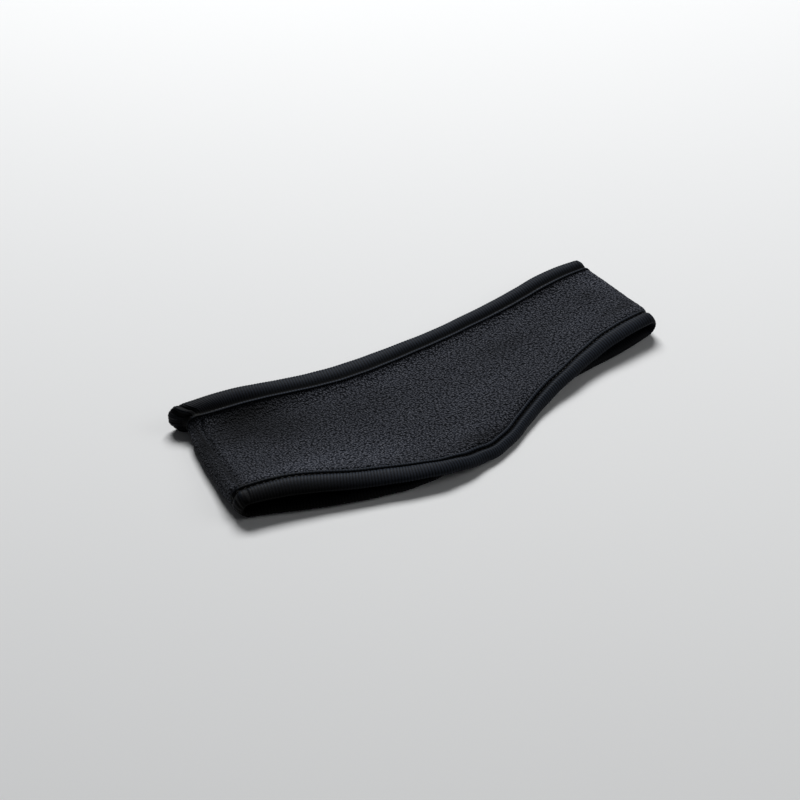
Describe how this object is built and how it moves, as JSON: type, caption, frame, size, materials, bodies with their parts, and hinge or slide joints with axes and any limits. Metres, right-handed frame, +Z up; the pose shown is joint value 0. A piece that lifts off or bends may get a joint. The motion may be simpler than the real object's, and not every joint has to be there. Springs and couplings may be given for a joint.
{
  "type": "fleece headband",
  "caption": "Soft fleece headband with tape-bound edges that widens over the ears, lying flat as a folded closed loop.",
  "frame": {"origin": "on the surface the headband lies on, under the middle of its outline box", "axes": "+X along the folded length from the centre back fold to the front fold, +Y to the crown edge, -Y to the ear edge, +Z up"},
  "size_m": [0.268, 0.1178, 0.0149],
  "materials": {
    "fleece": "napped anti-pill fleece, near-black grey",
    "tape": "ribbed knit binding tape, near-black grey"
  },
  "bodies": {
    "root": {"fleece_band": "fleece", "crown_binding": "tape", "ear_binding": "tape"}
  },
  "joints": []
}
